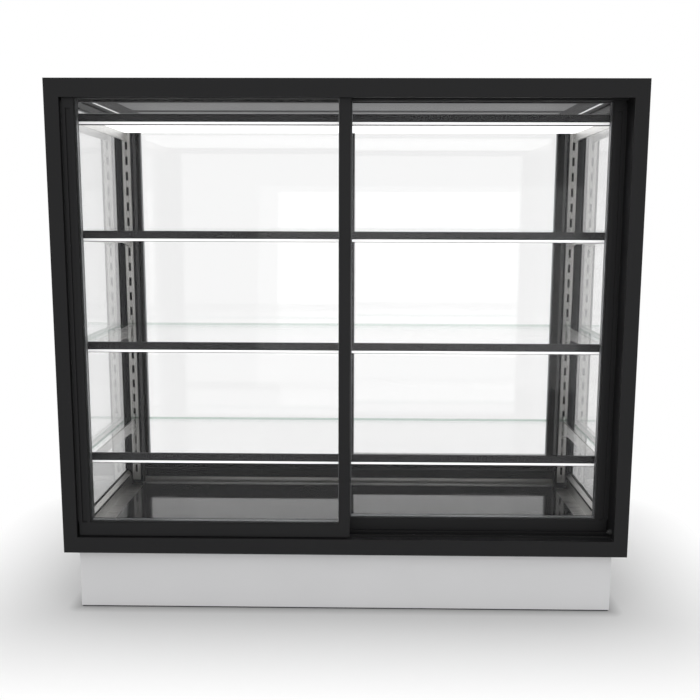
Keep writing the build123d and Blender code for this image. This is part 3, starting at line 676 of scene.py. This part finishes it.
class CASE_OT_plastics(bpy.types.Operator):
    """Finish the plastic, rubber and nylon pieces"""

    bl_idname = "case.plastics"
    bl_label = "Plastic, rubber and nylon"

    def execute(self, context):
        colours, sizes = context.scene.case_colours, context.scene.case_sizes
        black = moulded_plastic("moulded_abs", colours.plastic, sizes, roughness=0.5)
        give(
            black, "fan_housing", "fan_impeller", "controller", "switch_housing",
            "power_rocker", "cable_gland",
        )
        grey = moulded_plastic("key_abs", colours.key, sizes, roughness=0.55)
        give(grey, "up_button", "down_button", "set_button")
        nylon = moulded_plastic("moulded_nylon", colours.nylon, sizes, roughness=0.4)
        for end in ("outer", "meeting"):
            give(nylon, *[f"{door}_roller_{end}" for door in DOORS])
        give(matt_rubber(context.scene), "door_bumpers", "brush_seals")
        return {"FINISHED"}


class CASE_OT_gaskets(bpy.types.Operator):
    """Fit rubber gaskets round the panes, and rubber edges along the deck's side beads, one of
    which is painted shade
    """

    bl_idname = "case.gaskets"
    bl_label = "Gaskets and seals"

    def execute(self, context):
        width = context.scene.case_sizes.gasket
        rubber = matt_rubber(context.scene)
        for door in DOORS:
            gaskets = self.door_gaskets(door, width)
            finish_piece(gaskets, rubber, f"{door}_door")
        finish_piece(self.side_gaskets(width), rubber)
        finish_piece(self.bead_seals_and_shade_strips(), rubber)
        return {"FINISHED"}

    def faces(self, low, high, depth=2.4 * MM):
        """Where a gasket stands on each of the two faces of a glazing."""
        return (low - depth, low), (high, high + depth)

    def door_gaskets(self, door, width):
        """A ring on both faces of a door's glazing, along the edge of what the frame grips."""
        grip, foot_grip = 8.7 * MM, 3.0 * MM
        low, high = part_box(f"{door}_door_panes")
        rings = []
        for front, rear in self.faces(low.y, high.y):
            corners = (
                (low.x + grip, front, low.z + foot_grip), (high.x - grip, rear, high.z - grip)
            )
            rings.append(ease_edges(add_ring("gasket", *corners, "Y", width), width / 5))
        return join(rings, f"{door}_gaskets")

    def side_gaskets(self, width):
        """A ring on the outermost face of the glazing at each side of the case."""
        reach, bottom, top = 0.205, 0.165, 1.076
        low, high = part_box("side_panes")
        rings = []
        for inner, outer in self.faces(low.x, high.x):
            corners = ((inner, -reach, bottom), (outer, reach, top))
            rings.append(ease_edges(add_ring("gasket", *corners, "X", width), width / 5))
        return join(rings, "side_gaskets")

    def bead_seals_and_shade_strips(self):
        """Rubber edges along both side beads: one against the glass, and one over the bend, a
        black strip that stands in for the shade of the joint there.
        """
        front, rear = -0.2, 0.172
        # The second section is the strip over the bend: painted shade, made in rubber.
        sections = ((0.5837, 0.1750, 0.5860, 0.1770), (0.5762, 0.1602, 0.5774, 0.1657))
        seals = []
        for inner, bottom, outer, top in sections:
            seal = add_block("bead_seal_and_shade_strip", (inner, front, bottom), (outer, rear, top))
            seals.append(ease_edges(seal, width=0.0003))
        sides = [Matrix.Identity(4), Matrix.Scale(-1, 4, (1, 0, 0))]
        return repeat(join(seals, "bead_seal_and_shade_strip"), sides, "bead_seals_and_shade_strips")


class CASE_OT_brushes(bpy.types.Operator):
    """Set tufted brush strips on the outer stiles"""

    bl_idname = "case.brushes"
    bl_label = "Brush strips"

    def execute(self, context):
        scene = context.scene
        low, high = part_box("brush_seals")
        half_width, back = 0.012, 0.0008
        root = high.x - back
        carrier = add_block(
            "brush_carrier", (root, -half_width, low.z), (high.x, half_width, high.z)
        )
        ease_edges(carrier, width=0.0002)
        tufts = self.tufts(root, low.z, high.z, scene.case_sizes.tuft_pitch)
        moves = [
            at(0, -INNER_CHANNEL, 0), at(0, -OUTER_CHANNEL, 0, math.pi),
            at(0, INNER_CHANNEL, 0, math.pi), at(0, OUTER_CHANNEL, 0),
        ]
        strips = repeat(join([carrier, tufts], "brush_strip"), moves, "brush_strips")
        pile = ready(
            "pile", moulded_plastic, scene.case_colours.rubber, scene.case_sizes, roughness=0.85
        )
        finish_piece(strips, pile, replaced=("brush_seals",))
        return {"FINISHED"}

    def tufts(self, root, bottom, top, pitch):
        """Leaning tufts over a strip's whole face."""
        reach, lean, first, across = 0.0019, (0, 0.0002, 0.0006), -0.01, 6
        deselect()
        bpy.ops.mesh.primitive_cone_add(
            vertices=5, radius1=0.0019, radius2=0.0012, depth=reach,
            location=(root - reach / 2, first, bottom + pitch / 2),
            rotation=(0, -math.pi / 2, 0),
        )
        tuft = settle("tufts")
        open_edit(tuft, "FACE", lambda face: face.normal.x < -0.9)
        bpy.ops.transform.translate(value=lean)
        bpy.ops.object.mode_set(mode="OBJECT")
        upward = int((top - bottom) / pitch)
        for count, step in ((across, (0, pitch, 0)), (upward, (0, 0, pitch))):
            add_modifier(
                tuft, "ARRAY", count=count, use_relative_offset=False, use_constant_offset=True,
                constant_offset_displace=step,
            )
        return tuft


class CASE_OT_fasteners(bpy.types.Operator):
    """Fit the cross recessed screws and the rubber door stops"""

    bl_idname = "case.fasteners"
    bl_label = "Screws and stops"

    def execute(self, context):
        colours, sizes = context.scene.case_colours, context.scene.case_sizes
        zinc = brushed_metal(
            "zinc_plated", colours.stainless, sizes.brush_grain, "X", roughness=0.35
        )
        level, side_row, rear_row = 0.118, (-0.24, -0.08, 0.08, 0.24), (-0.555, -0.22, 0.22, 0.555)
        moves = [at(BASE_SIDE, y, level) for y in side_row]
        moves += [at(-BASE_SIDE, y, level, math.pi) for y in side_row]
        moves += [at(x, BASE_REAR, level, math.pi / 2) for x in rear_row]
        screws = repeat(self.screw(sizes.recess), moves, "pan_screws")
        finish_piece(screws, zinc, replaced=("screws",))
        reach, levels = 0.57, (0.178, 1.087)
        moves = []
        for z in levels:
            moves += [at(reach, y, z) for y in (-OUTER_CHANNEL, INNER_CHANNEL)]
            moves += [at(-reach, y, z, math.pi) for y in (-INNER_CHANNEL, OUTER_CHANNEL)]
        stops = repeat(self.stop(), moves, "door_stops")
        finish_piece(stops, matt_rubber(context.scene), replaced=("door_bumpers",))
        return {"FINISHED"}

    def screw(self, recess):
        """A pan head screw that faces +X, with the head's underside at the origin."""
        turn = (0, math.pi / 2, 0)
        head_radius, head_height = 0.004, 0.002
        shank_radius, shank_length = 0.002, 0.006
        slot_half, slot_floor, slot_top = 0.00045, 0.0009, 0.003
        head = add_rod("pan_screw", (head_height / 2, 0, 0), head_radius, head_height, turn)
        rim = both_ends(lambda spot: spot.x > 0.95 * head_height)
        round_edges(head, rim, width=0.0009, segments=4)
        for half_y, half_z in ((recess / 2, slot_half), (slot_half, recess / 2)):
            cut = add_block("recess", (slot_floor, -half_y, -half_z), (slot_top, half_y, half_z))
            add_modifier(head, "BOOLEAN", object=cut, operation="DIFFERENCE", solver="EXACT")
            bpy.data.objects.remove(cut)
        middle = (-shank_length / 2, 0, 0)
        shank = add_rod("shank", middle, shank_radius, shank_length, turn, sides=20)
        return join([head, shank], "pan_screw")

    def stop(self):
        """A domed rubber stop that faces -X, with its flange's back at the origin."""
        pieces = []
        for name, radius, reach, rounding, segments in (
            ("stop", 0.006, 0.0025, 0.0008, 3), ("dome", 0.0046, 0.009, 0.003, 5)
        ):
            rod = add_rod(name, (-reach / 2, 0, 0), radius, reach, (0, math.pi / 2, 0))
            rim = both_ends(lambda spot: spot.x < -0.95 * reach)
            pieces.append(round_edges(rod, rim, rounding, segments))
        return join(pieces, "door_stop")


class CASE_OT_louvres(bpy.types.Operator):
    """Press a hood over each louvre of the rear panel"""

    bl_idname = "case.louvres"
    bl_label = "Louvre hoods"

    def execute(self, context):
        half, depth, bottom, top = 0.0575, 0.0055, -0.0005, 0.0065
        hood = add_block("louvre_hood", (-half, 0, bottom), (half, depth, top))
        ends = both_ends(lambda spot: abs(spot.x) > half - 0.0005 and spot.y > depth - 0.0005)
        round_edges(hood, ends, width=0.004, segments=4)
        level = both_ends(lambda spot: spot.z > top - 0.0001)
        back = both_ends(lambda spot: spot.y < 0.0001)
        round_edges(hood, lambda edge: level(edge) and not back(edge), width=0.0035, segments=4)
        open_edit(hood, "FACE", lambda face: min(face.normal.z, face.normal.y) < -0.9)
        bpy.ops.mesh.delete(type="FACE")
        bpy.ops.object.mode_set(mode="OBJECT")
        add_modifier(hood, "SOLIDIFY", thickness=0.0008, offset=-1.0)
        banks, lowest, pitch, rows = (-0.12, 0.16), 0.034, 0.011, 7
        levels = [lowest + pitch * row for row in range(rows)]
        moves = [at(x, BASE_REAR, z) for x in banks for z in levels]
        hoods = repeat(hood, moves, "louvre_hoods")
        finish_piece(hoods, base_coat(context.scene))
        return {"FINISHED"}


class CASE_OT_controls(bpy.types.Operator):
    """Light the controller's display, and print the marks on the keys and the rocker"""

    bl_idname = "case.controls"
    bl_label = "Controls"

    def execute(self, context):
        colours, sizes = context.scene.case_colours, context.scene.case_sizes
        smoked = moulded_plastic("smoked_acrylic", colours.smoked, sizes, roughness=0.12)
        finish_piece(self.window(), smoked)
        lit = opal_light("display_light", colours.display, strength=1.0)
        finish_piece(self.digits(), lit)
        ink = moulded_plastic("printed_ink", colours.marking, sizes, roughness=0.6)
        radius, thickness = 0.0021, 0.0002
        for key, turn in (("up", 0.0), ("down", math.pi)):
            upright = (math.pi / 2, 0, 0)
            mark = add_rod(f"{key}_mark", (0, 0, 0), radius, thickness, upright, sides=3)
            move_mesh(ease_edges(mark, width=0.00004), self.key_face(key, turn))
            finish_piece(mark, ink, f"{key}_key")
        ring = add_hoop("set_mark", radius=0.0017, thickness=0.0004)
        move_mesh(ring, self.key_face("set"))
        finish_piece(ring, ink, "set_key")
        finish_piece(self.rocker_marks(), ink, "switch_rocker")
        return {"FINISHED"}

    def key_face(self, key, turn=0.0):
        """The move to the middle of a key's outer face."""
        low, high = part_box(f"{key}_button")
        return at((low.x + high.x) / 2, high.y, (low.z + high.z) / 2, turn, "Y")

    def window(self):
        """The smoked window over the controller's display."""
        half_width, half_height, thickness = 0.0218, 0.0098, 0.0004
        left, right = CONTROLLER_X - half_width, CONTROLLER_X + half_width
        bottom, top = CONTROLS_LEVEL - half_height, CONTROLS_LEVEL + half_height
        corners = ((left, SMOKED_FACE - thickness, bottom), (right, SMOKED_FACE, top))
        return ease_edges(add_block("display_window", *corners), width=0.0001)

    def digits(self):
        """The reading 65.0 in seven segments, the right way round for someone behind the case."""
        half_length, half_thick, raised = 0.00265, 0.0006, 0.0003
        corners = ((-half_length, 0, -half_thick), (half_length, raised, half_thick))
        bar = add_block("segment", *corners)
        face = both_ends(lambda spot: spot.y > raised / 2)
        back = both_ends(lambda spot: spot.y < raised / 2)
        round_edges(bar, lambda edge: not (face(edge) or back(edge)), width=0.00055, segments=1)
        half_w, half_h = 0.00305, 0.0061
        spots = {
            "top": (0, half_h, 0), "middle": (0, 0, 0), "bottom": (0, -half_h, 0),
            "upper_left": (-half_w, half_h / 2, 1), "upper_right": (half_w, half_h / 2, 1),
            "lower_left": (-half_w, -half_h / 2, 1), "lower_right": (half_w, -half_h / 2, 1),
        }
        places = (-0.0115, -0.001, 0.0115)
        unlit = ({"upper_right"}, {"upper_right", "lower_left"}, {"middle"})
        moves = []
        for place, dark in zip(places, unlit):
            for name, (right, up, upright) in spots.items():
                if name not in dark:
                    x, z = CONTROLLER_X - place - right, CONTROLS_LEVEL + up
                    moves.append(at(x, SMOKED_FACE, z, math.pi / 2 * upright, "Y"))
        segments = repeat(bar, moves, "display_digits")
        x, z = CONTROLLER_X - 0.0053, CONTROLS_LEVEL - 0.006
        corners = (
            (x - half_thick, SMOKED_FACE, z - half_thick),
            (x + half_thick, SMOKED_FACE + raised, z + half_thick),
        )
        point = ease_edges(add_block("point", *corners), width=0.0001)
        return join([segments, point], "display_digits")

    def rocker_marks(self):
        """A bar on the side that switches on and a hoop on the other, on the rocker's slopes."""
        pivot_y, off_tilt = 0.254, math.radians(-8)
        tipped = at(SWITCH_X, pivot_y, CONTROLS_LEVEL, off_tilt, "X")
        slope, out, up = math.atan2(2.5, 12), 0.00825, 0.006
        bar = add_block("on_mark", (-0.0005, -0.0001, -0.0022), (0.0005, 0.0001, 0.0022))
        move_mesh(ease_edges(bar, width=0.00005), tipped @ at(0, out, up, -slope, "X"))
        hoop = add_hoop("off_mark", radius=0.0019, thickness=0.0006)
        move_mesh(hoop, tipped @ at(0, out, -up, slope, "X"))
        return join([bar, hoop], "rocker_marks")


class CASE_OT_stage(bpy.types.Operator):
    """Set up the floor, the lamps, the white surround and the camera"""

    bl_idname = "case.stage"
    bl_label = "Stage"

    def execute(self, context):
        scene, stage = context.scene, context.scene.case_stage
        scene.view_settings.view_transform = "Standard"
        scene.cycles.transparent_max_bounces = stage.bounces
        scene.cycles.max_bounces = 24
        scene.cycles.glossy_bounces = 12
        self.make_floor(stage)
        self.make_sky(scene, stage)
        self.make_lamps()
        self.make_camera(scene, stage)
        return {"FINISHED"}

    def seen(self, tree):
        """One where the camera, a mirror or glass sees the surface, else nought."""
        path = add_node(tree, "ShaderNodeLightPath")
        seen = path.outputs["Is Camera Ray"]
        for ray in ("Is Glossy Ray", "Is Transmission Ray"):
            inputs = {0: seen, 1: path.outputs[ray]}
            seen = add_node(tree, "ShaderNodeMath", inputs, operation="MAXIMUM").outputs[0]
        return seen

    def away(self, tree):
        """How far a point on the floor is from the base's outline."""
        spot = add_node(tree, "ShaderNodeTexCoord").outputs["Object"]
        for operation, other in (
            ("ABSOLUTE", None), ("SUBTRACT", (BASE_SIDE, BASE_FRONT, 0)), ("MAXIMUM", (0, 0, 0))
        ):
            inputs = {0: spot, 1: other} if other else {0: spot}
            spot = add_node(tree, "ShaderNodeVectorMath", inputs, operation=operation).outputs[0]
        far = add_node(tree, "ShaderNodeVectorMath", {0: spot}, operation="LENGTH")
        return far.outputs["Value"]

    def make_floor(self, stage):
        """The floor: pale, with a painted contact shadow that darkens its colour at the foot of
        the base, and white further out.
        """
        deselect()
        bpy.ops.mesh.primitive_plane_add(size=40.0, location=(0, 0, 0))
        floor = bpy.context.object
        floor.name = "floor"
        material, tree, output = blank_material("pale_floor")
        away = self.away(tree)
        # Painted shadow: the floor's colour is scaled down to 0.65 at the base's foot and comes
        # back to full by the near distance.
        painted_foot_shadow = spread(tree, away, 0.65, 1.0, start=0.001, end=stage.near)
        tone = add_node(
            tree, "ShaderNodeVectorMath", {0: stage.floor, "Scale": painted_foot_shadow}, operation="SCALE"
        )
        lit = add_node(tree, "ShaderNodeBsdfDiffuse", {"Color": tone.outputs[0]})
        rise = spread(tree, away, 0.0, 1.0, start=stage.near, end=stage.far)
        inputs = {0: rise, 1: self.seen(tree)}
        glow = add_node(tree, "ShaderNodeMath", inputs, operation="MULTIPLY").outputs[0]
        white = add_node(tree, "ShaderNodeEmission", {"Strength": 1.0})
        inputs = {0: glow, 1: lit.outputs[0], 2: white.outputs[0]}
        both = add_node(tree, "ShaderNodeMixShader", inputs)
        tree.links.new(both.outputs[0], output.inputs["Surface"])
        floor.data.materials.append(material)

    def make_sky(self, scene, stage):
        """Even studio light, with plain white wherever the surround itself is seen or mirrored."""
        world = bpy.data.worlds.new("studio")
        scene.world = world
        world.use_nodes = True
        tree = world.node_tree
        tree.nodes.clear()
        light, white = [
            add_node(tree, "ShaderNodeBackground", {"Color": (1, 1, 1, 1), "Strength": strength})
            for strength in (stage.sky, 1.0)
        ]
        inputs = {0: self.seen(tree), 1: light.outputs[0], 2: white.outputs[0]}
        either = add_node(tree, "ShaderNodeMixShader", inputs)
        output = add_node(tree, "ShaderNodeOutputWorld")
        tree.links.new(either.outputs[0], output.inputs["Surface"])

    def make_lamps(self):
        """Four large softboxes: name, place and size in metres, and power in watts."""
        middle = Vector((0, 0, 0.5))
        for name, place, size, power in (
            ("front_softbox", (-1.6, -3.4, 2.6), 2.4, 6.0),
            ("low_softbox", (0.3, -2.8, 0.2), 1.6, 9.0),
            ("side_softbox", (3.2, -1.6, 2.6), 2.0, 6.0),
            ("top_softbox", (0.0, 1.2, 4.2), 3.0, 24.0),
        ):
            lamp = bpy.data.lights.new(name, "AREA")
            lamp.size = size
            lamp.energy = power
            holder = bpy.data.objects.new(name, lamp)
            holder.location = place
            holder.rotation_euler = (middle - Vector(place)).to_track_quat("-Z", "Y").to_euler()
            bpy.context.collection.objects.link(holder)

    def make_camera(self, scene, stage):
        """The photograph's own camera, solved from the case's edges."""
        spot = (0.03737, -2.11102, 0.84126)
        yaw, pitch, roll = 0.01468, 0.14781, -0.0033
        level = Vector((-math.sin(yaw), math.cos(yaw), 0))
        ahead = level * math.cos(pitch) - Vector((0, 0, 1)) * math.sin(pitch)
        right = Vector((math.cos(yaw), math.sin(yaw), 0))
        down = ahead.cross(right)
        image_x = right * math.cos(roll) + down * math.sin(roll)
        image_down = down * math.cos(roll) - right * math.sin(roll)
        turn = Matrix((image_x, -image_down, -ahead)).transposed().to_4x4()
        camera = bpy.data.objects.new("camera", bpy.data.cameras.new("camera"))
        camera.matrix_world = Matrix.Translation(spot) @ turn
        camera.data.lens = stage.lens
        camera.data.sensor_width = 36.0
        bpy.context.collection.objects.link(camera)
        scene.camera = camera


class CASE_PT_panel(bpy.types.Panel):
    """Lists the steps that finish the display case"""

    bl_idname = "CASE_PT_panel"
    bl_label = "Display case"
    bl_space_type = "VIEW_3D"
    bl_region_type = "UI"
    bl_category = "Display case"

    def draw(self, context):
        for step in STEPS:
            self.layout.operator(step.bl_idname)


STEPS = (
    CASE_OT_frame,
    CASE_OT_base,
    CASE_OT_steel,
    CASE_OT_glass,
    CASE_OT_lights,
    CASE_OT_plastics,
    CASE_OT_gaskets,
    CASE_OT_brushes,
    CASE_OT_fasteners,
    CASE_OT_louvres,
    CASE_OT_controls,
    CASE_OT_stage,
)
GROUPS = {"case_colours": CaseColours, "case_sizes": CaseSizes, "case_stage": CaseStage}


def register():
    for group in GROUPS.values():
        bpy.utils.register_class(group)
    for name, group in GROUPS.items():
        setattr(bpy.types.Scene, name, PointerProperty(type=group))
    for step in STEPS:
        bpy.utils.register_class(step)
    bpy.utils.register_class(CASE_PT_panel)


def unregister():
    bpy.utils.unregister_class(CASE_PT_panel)
    for step in reversed(STEPS):
        bpy.utils.unregister_class(step)
    for name in GROUPS:
        delattr(bpy.types.Scene, name)
    for group in GROUPS.values():
        bpy.utils.unregister_class(group)


def main():
    """Finish the case step by step."""
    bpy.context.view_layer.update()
    register()
    for step in STEPS:
        area, name = step.bl_idname.split(".")
        getattr(getattr(bpy.ops, area), name)()


if __name__ == "__main__":
    main()
